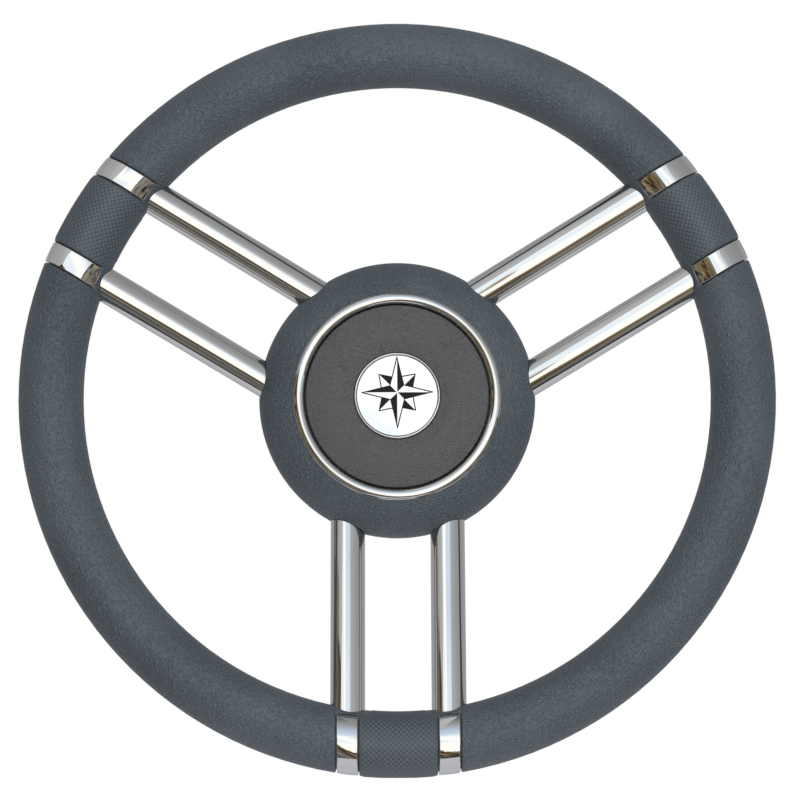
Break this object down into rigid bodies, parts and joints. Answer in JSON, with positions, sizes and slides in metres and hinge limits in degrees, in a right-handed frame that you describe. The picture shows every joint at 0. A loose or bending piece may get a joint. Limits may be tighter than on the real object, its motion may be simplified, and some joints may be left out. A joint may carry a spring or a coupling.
{
  "type": "boat steering wheel",
  "caption": "Padded steering wheel for a boat, with paired polished tube spokes, a moulded hub, a round padded cap and a tapered, keyed bore.",
  "frame": {"origin": "centre of the mouth of the tapered bore, in the rear face of the boss", "axes": "+Y along the shaft axis, away from the helmsman and into the helm, so the wheel faces -Y; +Z is the top of the wheel, with one pair of spokes straight down; +X is the helmsman's right"},
  "size_m": [0.35, 0.0614, 0.35],
  "materials": {
    "grip": "slate grey moulded polyurethane with a pebbled leather grain, knurled on the short sections",
    "polished_steel": "mirror polished stainless steel",
    "steel": "turned and welded stainless steel",
    "cap_leather": "warm grey leather with a fine streaked grain over thin foam",
    "cap_plastic": "black moulded plastic",
    "badge_mirror": "bright mirror disc with a printed black and white compass rose"
  },
  "bodies": {
    "root": {"rim_grip": "grip", "hub_cover": "grip", "rim_core": "steel", "hub_drum": "steel", "hub_plate": "steel", "hub_boss": "steel", "trim_ring": "polished_steel", "cap_carrier": "cap_plastic", "cap_pad": "cap_leather", "badge_bezel": "polished_steel", "badge_disc": "badge_mirror", "spoke_bottom_left": "polished_steel", "band_bottom_left": "polished_steel", "spoke_bottom_right": "polished_steel", "band_bottom_right": "polished_steel", "spoke_right_lower": "polished_steel", "band_right_lower": "polished_steel", "spoke_right_upper": "polished_steel", "band_right_upper": "polished_steel", "spoke_left_upper": "polished_steel", "band_left_upper": "polished_steel", "spoke_left_lower": "polished_steel", "band_left_lower": "polished_steel"}
  },
  "joints": []
}
